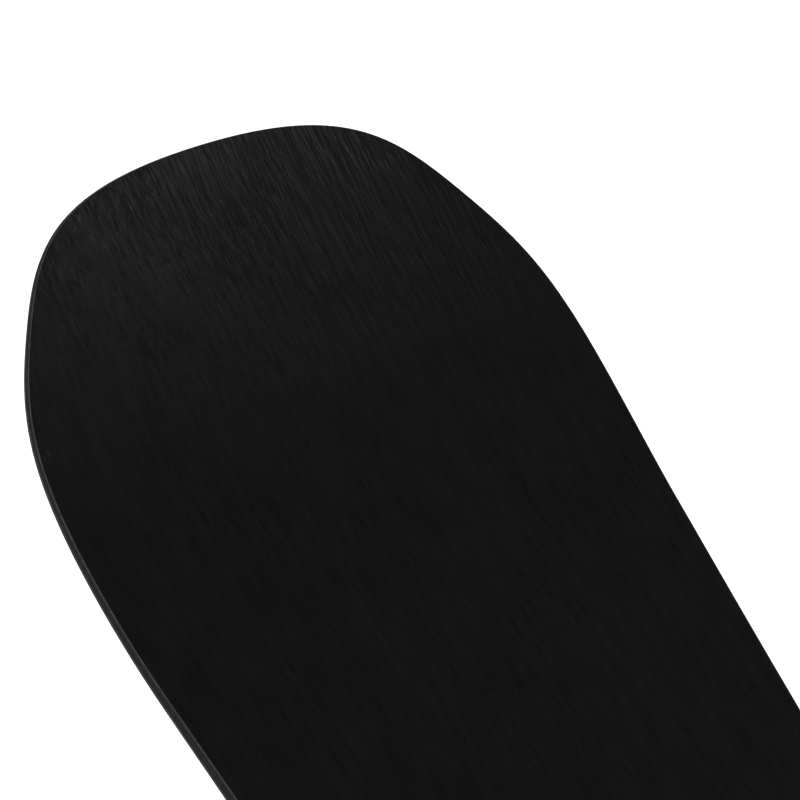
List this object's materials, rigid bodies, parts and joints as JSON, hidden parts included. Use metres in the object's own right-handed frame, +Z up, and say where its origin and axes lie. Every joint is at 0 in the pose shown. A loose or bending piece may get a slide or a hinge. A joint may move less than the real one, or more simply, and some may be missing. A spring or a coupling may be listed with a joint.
{
  "type": "splitboard",
  "caption": "Snowboard with a rockered nose that divides lengthwise into two touring skis, with steel edges, swing hooks and a tail clip.",
  "frame": {"origin": "middle of the board's footprint, on the ground plane under the flat running base", "axes": "+Y along the board towards the nose, +X to the right half seen from above, +Z up through the topsheet"},
  "size_m": [0.3142, 1.58, 0.0457],
  "materials": {
    "topsheet": "matte black film with a faint wood-veneer grain along the board",
    "sidewall": "milled dark grey ABS",
    "sintered_base": "black sintered polyethylene with a stone-ground structure",
    "laminate": "resin-filled glass cloth",
    "core_wood": "vertical-strip poplar and paulownia",
    "steel_edge": "ground carbon steel",
    "insert_steel": "turned stainless steel",
    "black_plate": "black e-coated stainless plate",
    "hook_steel": "tumbled stainless steel",
    "screw_steel": "dark zinc-plated steel"
  },
  "bodies": {
    "left_half": {"base_left": "sintered_base", "outer_edge_left": "steel_edge", "inner_edge_left": "steel_edge", "lower_laminate_left": "laminate", "nose_spacer_left": "sidewall", "tail_spacer_left": "sidewall", "core_left": "core_wood", "outer_sidewall_left": "sidewall", "inner_sidewall_left": "sidewall", "upper_laminate_left": "laminate", "topsheet_left": "topsheet", "front_foot_inserts_left": "insert_steel", "rear_foot_inserts_left": "insert_steel", "touring_inserts_left": "insert_steel", "front_hook_pivot_plate": "black_plate", "front_hook_pivot_pin": "hook_steel", "front_hook_pivot_screw_front": "screw_steel", "front_hook_pivot_screw_rear": "screw_steel", "rear_hook_pivot_plate": "black_plate", "rear_hook_pivot_pin": "hook_steel", "rear_hook_pivot_screw_front": "screw_steel", "rear_hook_pivot_screw_rear": "screw_steel", "tail_clip_pivot_plate": "black_plate", "tail_clip_pivot_pin": "hook_steel", "tail_clip_pivot_screw_front": "screw_steel", "tail_clip_pivot_screw_rear": "screw_steel"},
    "right_half": {"base_right": "sintered_base", "outer_edge_right": "steel_edge", "inner_edge_right": "steel_edge", "lower_laminate_right": "laminate", "nose_spacer_right": "sidewall", "tail_spacer_right": "sidewall", "core_right": "core_wood", "outer_sidewall_right": "sidewall", "inner_sidewall_right": "sidewall", "upper_laminate_right": "laminate", "topsheet_right": "topsheet", "front_foot_inserts_right": "insert_steel", "rear_foot_inserts_right": "insert_steel", "touring_inserts_right": "insert_steel", "front_hook_catch_plate": "black_plate", "front_hook_catch_screw_front": "screw_steel", "front_hook_catch_screw_rear": "screw_steel", "rear_hook_catch_plate": "black_plate", "rear_hook_catch_screw_front": "screw_steel", "rear_hook_catch_screw_rear": "screw_steel", "tail_clip_catch_plate": "black_plate", "tail_clip_catch_screw_front": "screw_steel", "tail_clip_catch_screw_rear": "screw_steel"},
    "front_hook_arm": {"front_hook_arm": "hook_steel"},
    "rear_hook_arm": {"rear_hook_arm": "hook_steel"},
    "tail_clip_arm": {"tail_clip_arm": "hook_steel"}
  },
  "joints": [
    {"name": "halves_part", "type": "slide", "parent": "left_half", "child": "right_half", "axis": [1, 0, 0], "range_m": [0, 0.14]},
    {"name": "front_hook_swing", "type": "hinge", "parent": "left_half", "child": "front_hook_arm", "pos_m": [-0.034, 0.338, 0.008], "axis": [0, 0, -1], "range_deg": [0, 90]},
    {"name": "rear_hook_swing", "type": "hinge", "parent": "left_half", "child": "rear_hook_arm", "pos_m": [-0.034, -0.338, 0.008], "axis": [0, 0, -1], "range_deg": [0, 90]},
    {"name": "tail_clip_swing", "type": "hinge", "parent": "left_half", "child": "tail_clip_arm", "pos_m": [-0.026, -0.72, 0.02278], "axis": [0, -0.1921, -0.9814], "range_deg": [0, 90]}
  ]
}
